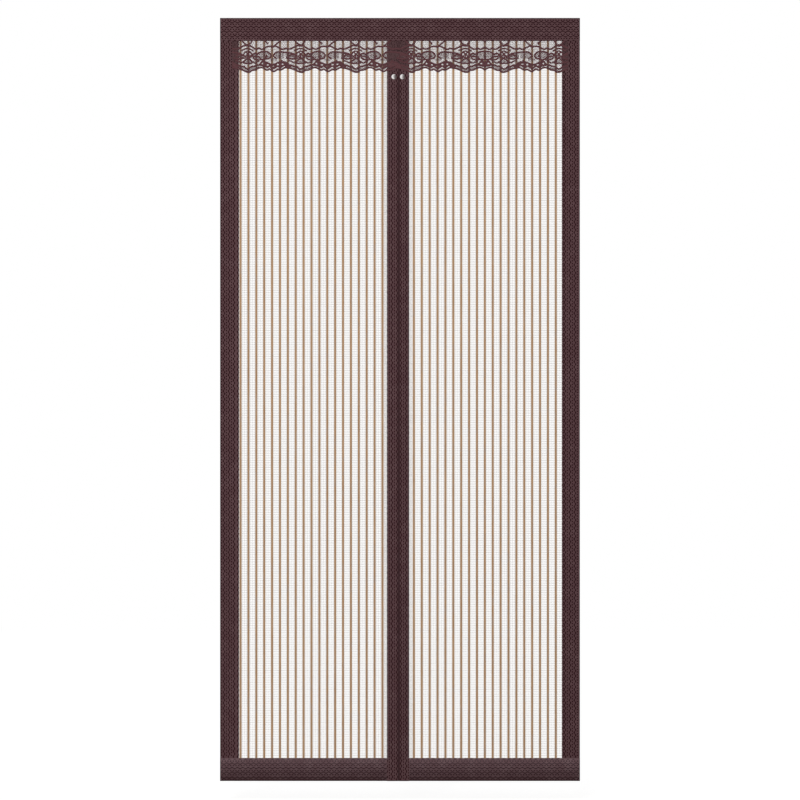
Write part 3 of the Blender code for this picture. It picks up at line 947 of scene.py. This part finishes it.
# Cords of one repeat: width in millimetres, then the points as (right of the flower, down)
laceCords = {
    "rope": (5.5, (
        (-490, 330), (-360, 350), (-240, 310), (-90, 240), (0, 250), (85, 250), (145, 285), (215, 335),
        (285, 357), (370, 322), (450, 357), (540, 325), (640, 275), (770, 270), (820, 285), (880, 255),
        (950, 280), (1040, 325), (1140, 360), (1200, 330),
    )),
    "knot": (7.9, ((-28, 236), (0, 232), (28, 236))),
    "armLeft": (4.9, ((-190, 70), (-110, 160), (-10, 225))),
    "armRight": (4.9, ((150, 70), (110, 150), (40, 205))),
    "farArm": (4.9, ((840, 270), (900, 215), (970, 160), (1080, 70))),
    "dangle": (4.7, ((520, 60), (590, 120), (655, 187))),
    "dangleEnd": (7.4, ((632, 168), (660, 190))),
    "brow": (4.9, ((-210, 400), (-130, 370), (-55, 340), (10, 333), (70, 345), (120, 375), (195, 415))),
    "arch": (4.8, ((-131, 549), (-103, 470), (-38, 428), (0, 413), (54, 428), (111, 470), (140, 549))),
    "innerLeft": (4.4, ((-72, 448), (-20, 480), (30, 525), (72, 566), (118, 590))),
    "innerRight": (4.4, ((84, 448), (36, 480), (-10, 525), (-50, 562), (-90, 582))),
    "crossLeft": (5.2, ((-153, 535), (-81, 577), (4, 628), (76, 677), (133, 734), (165, 765))),
    "crossRight": (5.2, (
        (190, 535), (118, 584), (61, 622), (4, 640), (-67, 690), (-124, 741), (-150, 775),
    )),
    "stem": (3.6, ((6, 510), (6, 560), (4, 640))),
    "tail": (5.2, ((-520, 445), (-410, 460), (-310, 475), (-240, 490), (-153, 535))),
    "leafUpper": (5.0, ((-370, 590), (-295, 530), (-210, 530), (-138, 572))),
    "leafLower": (5.4, ((-452, 627), (-352, 649), (-238, 663), (-130, 634), (-60, 630))),
    "leafFoot": (4.8, ((-390, 710), (-300, 730), (-210, 775), (-140, 750))),
    "bowl": (5.4, ((-150, 760), (-110, 788), (-50, 802), (10, 792), (70, 803), (130, 788), (170, 750))),
    "paisley": (5.4, (
        (60, 600), (130, 545), (190, 500), (245, 480), (290, 510), (350, 485), (420, 445), (520, 425),
        (610, 430), (680, 460), (735, 515), (750, 560), (730, 610), (690, 640), (630, 655), (590, 620),
        (600, 580), (640, 555),
    )),
    "petal": (4.7, ((170, 600), (250, 578), (340, 590), (400, 630), (450, 675), (540, 680), (630, 655))),
    "petalFoot": (4.7, ((170, 620), (220, 665), (290, 690), (390, 690), (450, 675))),
    "rightLeg": (4.8, ((165, 745), (230, 788), (300, 755), (380, 735))),
    "counter": (5.1, (
        (940, 650), (890, 620), (840, 570), (850, 520), (900, 470), (980, 440), (1060, 438),
        (1180, 448),
    )),
    "stub": (6.0, ((1090, 690), (1106, 745), (1120, 800))),
    "border": (5.4, (
        (-490, 755), (-420, 800), (-380, 840), (-260, 862), (-190, 900), (-120, 892), (-60, 950),
        (15, 975), (70, 940), (130, 900), (210, 890), (290, 850), (380, 845), (430, 790), (510, 715),
        (560, 760), (640, 780), (720, 820), (800, 838), (890, 815), (980, 775), (1060, 760),
        (1200, 765),
    )),
    "zigzag": (4.9, (
        (380, 845), (460, 870), (560, 890), (640, 925), (700, 885), (760, 925), (830, 965), (900, 925),
        (970, 890), (1040, 930), (1120, 890), (1200, 850),
    )),
    "tailSide": (4.9, ((-492, 850), (-455, 888), (-400, 940))),
    "tailEnd": (4.4, ((-290, 862), (-320, 905), (-345, 950))),
    "foot": (5.5, (
        (-490, 935), (-380, 945), (-260, 970), (-150, 1010), (-60, 1055), (30, 1072), (90, 1060),
        (140, 1020), (225, 1010), (300, 975), (390, 937), (475, 935), (550, 970), (630, 1012),
        (705, 980), (780, 1025), (845, 1052), (910, 1022), (975, 990), (1050, 1000), (1120, 980),
        (1200, 937),
    )),
}

# Places filled with closer net
lacePatches = (
    ((-4, 650), (-130, 745), (-50, 800), (70, 803), (150, 760), (70, 690)),
    (
        (-452, 627), (-370, 575), (-295, 527), (-210, 527), (-110, 590), (-153, 645), (-238, 663),
        (-352, 649),
    ),
    (
        (60, 600), (190, 500), (290, 510), (420, 445), (520, 425), (610, 430), (735, 515), (730, 610),
        (630, 655), (540, 680), (390, 690), (220, 665),
    ),
    ((720, 650), (850, 640), (950, 660), (940, 715), (720, 710)),
    ((-490, 455), (-310, 490), (-160, 520), (-150, 640), (-300, 570), (-450, 630)),
    ((850, 520), (900, 470), (1060, 438), (1180, 448), (1180, 640), (940, 650)),
    (
        (-490, 765), (-260, 862), (15, 975), (290, 850), (380, 845), (390, 937), (225, 1010),
        (30, 1072), (-150, 1010), (-260, 970), (-490, 935),
    ),
)

# Closed cloth with oval eyelets, between the border and the zigzag under it
border = laceCords["border"][1]
zigzag = laceCords["zigzag"][1]
laceCloth = (*border[12:], (1200, 848), *zigzag[-2:0:-1])
laceTailCloth = (
    (-490, 765), (-420, 800), (-380, 838), (-290, 858), (-340, 925), (-400, 942), (-455, 890),
    (-490, 850),
)
# Middle across and down, half width and half height
laceEyelets = (
    (480, 805, 34, 22), (650, 848, 34, 20), (810, 888, 36, 24), (975, 838, 34, 26), (1125, 825, 30, 24),
)


def laceRepeats():
    # Each repeat is (flower, direction, stretch of its body, lowest and highest x)
    flowers = lace["flowers"]
    mirrored = lace["mirrored"]
    low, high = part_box("lace_valance")
    turn = (flowers[-1] + mirrored[0]) / 2
    pitches = [b - a for a, b in zip(flowers, flowers[1:])] + [lace["lastPitch"]]
    pitches += [mirrored[1] - mirrored[0]] * 2
    ends = [(low.x, high.x)] * (len(flowers) - 1) + [(low.x, turn), (turn, high.x), (low.x, high.x)]
    repeats = []
    for flower, pitch, limits in zip(flowers + mirrored, pitches, ends):
        stretch = (pitch / lace["unit"] - lace["tail"]) / lace["body"]
        repeats.append((flower, -1 if flower in mirrored else 1, stretch, *limits))
    return repeats


def lacePoint(repeat, point):
    flower, direction, stretch, low, high = repeat
    across = point[0] * (stretch if point[0] > 0 else 1)
    return flower + direction * across * lace["unit"], lace["datum"] - point[1] * lace["unit"]


def laceShape(repeat, points):
    # A closed shape in this repeat, held between the repeat's ends
    places = [lacePoint(repeat, point) for point in points]
    return [(min(max(x, repeat[3]), repeat[4]), z) for x, z in places]


def clipped(points, low, high):
    # Runs of the points whose x lies between low and high, cut at the limits
    runs = [[]]
    for a, b in zip(points, points[1:]):
        for limit in (low, high):
            if (a[0] - limit) * (b[0] - limit) < 0:
                share = (limit - a[0]) / (b[0] - a[0])
                cut = (limit, a[1] + share * (b[1] - a[1]))
                if low <= a[0] <= high:
                    runs[-1] += [a, cut]
                    runs.append([])
                    a = None
                else:
                    a = cut
                break
        if a and low <= a[0] <= high and low <= b[0] <= high:
            runs[-1].append(a)
    if low <= points[-1][0] <= high:
        runs[-1].append(points[-1])
    return [run for run in runs if len(run) > 1]


def meshFrom(curve, material):
    # A mesh object made from a curve
    curve.materials.append(material)
    pick(linked(bpy.data.objects.new(curve.name, curve)))
    bpy.ops.object.convert(target="MESH")
    return bpy.context.object


def curvePiece(name, runs, radius, material, smooth, roundness):
    # Round cords or threads, one spline a run
    curve = bpy.data.curves.new(name, "CURVE")
    curve.dimensions = "3D"
    curve.bevel_depth = radius
    curve.bevel_resolution = roundness
    curve.resolution_u = lace["curveSteps"]
    curve.use_fill_caps = True
    for run in runs:
        spline = curve.splines.new("BEZIER" if smooth else "POLY")
        knots = spline.bezier_points if smooth else spline.points
        knots.add(len(run) - 1)
        for knot, (x, z) in zip(knots, run):
            knot.co = (x, 0, z) if smooth else (x, 0, z, 1)
            if smooth:
                knot.handle_left_type = "AUTO"
                knot.handle_right_type = "AUTO"
    return meshFrom(curve, material)


def pressed(piece, y, share):
    # Flattens a piece and sets it at its depth
    piece.scale.y = share
    piece.location.y = y
    return settle(piece)


def inside(polygon, x, z):
    count = 0
    for (ax, az), (bx, bz) in zip(polygon, polygon[1:] + polygon[:1]):
        if (az > z) != (bz > z) and x < ax + (z - az) / (bz - az) * (bx - ax):
            count += 1
    return count % 2 == 1


def netRuns(polygon, pitch, slope):
    # Slanting straight threads inside a polygon, in both directions
    xs = [point[0] for point in polygon]
    zs = [point[1] for point in polygon]
    high = max(zs)
    depth = high - min(zs)
    sample = lace["netSample"]
    runs = []
    for lean in (-1, 1):
        count = int((max(xs) - min(xs) + depth / slope) / pitch) + 1
        for index in range(count):
            x = min(xs) - (depth / slope if lean > 0 else 0) + (index + 0.5) * pitch
            start = None
            for level in range(int(depth / sample) + 2):
                fall = level * sample
                place = (x + lean * fall / slope, high - fall)
                within = inside(polygon, *place)
                if within and start is None:
                    start = place
                if not within and start is not None:
                    if start[1] - place[1] > 2 * sample:
                        runs.append([start, place])
                    start = None
    return runs


def filledPiece(name, outlines):
    # A flat piece of closed cloth with holes
    curve = bpy.data.curves.new(name, "CURVE")
    curve.dimensions = "2D"
    curve.fill_mode = "BOTH"
    curve.extrude = lace["clothThickness"] / 2
    for outline in outlines:
        spline = curve.splines.new("POLY")
        spline.points.add(len(outline) - 1)
        spline.use_cyclic_u = True
        for knot, (x, z) in zip(spline.points, outline):
            knot.co = (x, z, 0, 1)
    piece = meshFrom(curve, clothYarn)
    piece.rotation_euler.x = math.pi / 2
    piece.location.y = lace["clothY"]
    return settle(piece)


def cordRuns(name, repeats):
    # A cord that goes the whole length of the lace is one run, and any other has one in each repeat
    runs = []
    for repeat in repeats:
        line = [lacePoint(repeat, point) for point in laceCords[name][1]]
        runs += clipped(line, repeat[3], repeat[4])
    if name not in ("rope", "border", "foot"):
        return runs
    points = sorted(point for run in runs for point in run)
    whole = points[:1]
    for point in points[1:]:
        if point[0] - whole[-1][0] > lace["knotGap"]:
            whole.append(point)
    return [whole]


def eyelets(repeat):
    holes = []
    sides = lace["eyeletSides"]
    for across, down, halfWidth, halfHeight in laceEyelets:
        ring = []
        for step in range(sides):
            angle = 2 * math.pi * step / sides
            spot = (across + halfWidth * math.cos(angle), down + halfHeight * math.sin(angle))
            ring.append(lacePoint(repeat, spot))
        if all(repeat[3] < x < repeat[4] for x, z in ring):
            holes.append(ring)
    return holes


def laceValance():
    repeats = laceRepeats()
    parts = []
    for width in sorted({width for width, points in laceCords.values()}):
        names = [name for name in laceCords if laceCords[name][0] == width]
        runs = [run for name in names for run in cordRuns(name, repeats)]
        cords = curvePiece("cords", runs, width / 2000, laceYarn, True, 1)
        parts.append(pressed(cords, lace["cordY"], lace["cordThickness"] / (width / 1000)))
    low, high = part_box("lace_valance")
    head = topFoot + lace["tuck"]
    outline = [(low.x, head), *cordRuns("foot", repeats)[0], (high.x, head)]
    netLines = netRuns(outline, lace["netPitch"], lace["netSlope"])
    net = pressed(curvePiece("net", netLines, lace["netRadius"], netYarn, False, 0), lace["netY"], 1)
    patchLines = []
    clothParts = []
    for repeat in repeats:
        for patch in lacePatches:
            patchLines += netRuns(laceShape(repeat, patch), lace["patchPitch"], lace["patchSlope"])
        for shape, holes in ((laceCloth, eyelets(repeat)), (laceTailCloth, [])):
            outline = laceShape(repeat, shape)
            reach = max(outline)[0] - min(outline)[0]
            if reach > lace["clothLeast"]:
                clothParts.append(filledPiece("cloth", [outline, *holes]))
    patches = curvePiece("patches", patchLines, lace["patchRadius"], netYarn, False, 0)
    pressed(patches, lace["patchY"], 1)
    foot = topFoot - lace["headerFoot"]
    header = filledPiece("header", [[(low.x, high.z), (high.x, high.z), (high.x, foot), (low.x, foot)]])
    cords = joinAll(parts, "laceCords")
    cords.data.shade_smooth()
    cords = joinAll([cords, patches], "laceCords")
    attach(cords, "root")
    ground = joinAll([net, *clothParts, header], "laceGround")
    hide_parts("lace_valance")
    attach(ground, "root")
    print("lace", len(cords.data.polygons), "faces of cord", len(ground.data.polygons), "of ground")


laceValance()


# Rivets

rivetShape = {
    "sides": 40,
    "rim": 0.0006,
    "crownShare": 0.4,  # of a ring, left flat in the middle
    "cap": {"facing": -1, "height": 0.0024, "rings": 7},
    "back": {"facing": 1, "height": 0.0009, "rings": 3},
}


def rivetHead(part, side):
    # A round plate whose face is inset ring by ring into a low dome
    node = f"rivet_{part}_{side}"
    facing, height, rings = rivetShape[part].values()
    low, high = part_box(node)
    radius = (high.x - low.x) / 2
    outer = low.y if facing < 0 else high.y
    rim = min(rivetShape["rim"], height / 2)
    middle = Vector(((low.x + high.x) / 2, outer - facing * (height - rim / 2), (low.z + high.z) / 2))
    bpy.ops.mesh.primitive_cylinder_add(
        vertices=rivetShape["sides"], radius=radius, depth=rim, location=middle,
        rotation=(math.pi / 2, 0, 0),
    )
    head = settle(justMade(f"rivet.{part}.{side}", nickel))
    editFaces(head, lambda face: face.normal.y * facing > 0.5)
    dome = height - rim
    reach = radius
    level = 0
    for ring in range(1, rings + 1):
        angle = math.pi / 2 * ring / (rings + rivetShape["crownShare"])
        newReach = radius * math.cos(angle)
        newLevel = dome * math.sin(angle)
        bpy.ops.mesh.inset(thickness=reach - newReach, depth=newLevel - level)
        reach = newReach
        level = newLevel
    leaveEdit()
    bpy.ops.object.shade_smooth_by_angle(angle=math.radians(50))
    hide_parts(node)
    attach(head, "root")


for side in ("left", "right"):
    rivetHead("cap", side)
    rivetHead("back", side)
print("rivets made")


# Finishes of the other nodes

nodeFinishes = {
    "magnet_strip_left": magnetRubber,
    "magnet_strip_right": magnetRubber,
    "hanging_tape_top": topTape,
    "hanging_tape_left": sideTape,
    "hanging_tape_right": sideTape,
}
for name, material in nodeFinishes.items():
    ownMaterial(nodes[name], material)


# Floor, light and camera

studio = {
    "floorZ": -2.130,
    "floorSize": 9.0,
    "floorSeen": 0.25,
    "floorColour": (0.80, 0.80, 0.80),
    "floorGlow": 0.83,
    "ambient": 0.58,
    "keyPlace": (-1.3, -4.4, 1.5),
    "keyPower": 135.0,
    "keySize": 2.4,
    "cardPlace": (0.62, -1.35, 0.15),
    "cardSize": 3.65,
    "cardTurn": 64.8,
    "cardColour": (0.13, 0.10, 0.10, 1),
    "cameraDistance": 6.0,
    "viewWidth": 2.20184,
    "viewMiddle": -1.0199,
    "sensor": 36,
}


def rayShare(tree):
    # 1 where the camera, a mirror or glass looks, otherwise 0
    path = tree.nodes.new("ShaderNodeLightPath").outputs
    seen = calc(tree, "ADD", path["Is Camera Ray"], path["Is Glossy Ray"])
    return calc(tree, "MINIMUM", calc(tree, "ADD", seen, path["Is Transmission Ray"]), 1.0)


def makeWorld():
    world = bpy.data.worlds.new("studioWorld")
    bpy.context.scene.world = world
    world.use_nodes = True
    tree = world.node_tree
    background = tree.nodes["Background"]
    background.inputs["Color"].default_value = (1, 1, 1, 1)
    ambient = studio["ambient"]
    strength = calc(tree, "MULTIPLY_ADD", rayShare(tree), 1 - ambient, ambient)
    tree.links.new(strength, background.inputs["Strength"])


def makeFloor():
    material, tree, shader, place = startMaterial("paleFloor", 0.9)
    seen = rayShare(tree)
    tone = blendColour(tree, seen, studio["floorColour"], (studio["floorSeen"],) * 3)
    tree.links.new(tone, shader.inputs["Base Color"])
    shader.inputs["Specular IOR Level"].default_value = 0.1
    shader.inputs["Emission Color"].default_value = (1, 1, 1, 1)
    tree.links.new(calc(tree, "MULTIPLY", seen, studio["floorGlow"]), shader.inputs["Emission Strength"])
    bpy.ops.mesh.primitive_plane_add(size=studio["floorSize"], location=(0, 0, studio["floorZ"]))
    justMade("floor", material)


def makeCard():
    # Only seen in the metal, where it darkens the right side of the rivets
    material, tree, shader, place = startMaterial("darkCard", 0.5)
    shader.inputs["Base Color"].default_value = studio["cardColour"]
    bpy.ops.mesh.primitive_plane_add(
        size=studio["cardSize"], location=studio["cardPlace"],
        rotation=(math.pi / 2, 0, math.radians(studio["cardTurn"])),
    )
    card = justMade("darkCard", material)
    card.visible_camera = False
    card.visible_diffuse = False
    card.visible_shadow = False
    card.visible_transmission = False


def makeLight():
    light = bpy.data.lights.new("keyLight", "AREA")
    light.shape = "SQUARE"
    light.size = studio["keySize"]
    light.energy = studio["keyPower"]
    key = linked(bpy.data.objects.new("keyLight", light))
    key.location = studio["keyPlace"]
    key.visible_glossy = False
    aim = Vector((0, 0, studio["viewMiddle"])) - key.location
    key.rotation_euler = aim.to_track_quat("-Z", "Y").to_euler()


def makeCamera():
    lens = bpy.data.cameras.new("camera")
    lens.sensor_width = studio["sensor"]
    lens.lens = studio["sensor"] * studio["cameraDistance"] / studio["viewWidth"]
    camera = linked(bpy.data.objects.new("camera", lens))
    camera.location = (0, meshY - studio["cameraDistance"], studio["viewMiddle"])
    camera.rotation_euler = (math.pi / 2, 0, 0)
    bpy.context.scene.camera = camera
    bpy.context.scene.view_settings.view_transform = "Standard"


makeWorld()
makeFloor()
makeCard()
makeLight()
makeCamera()
print("studio set")
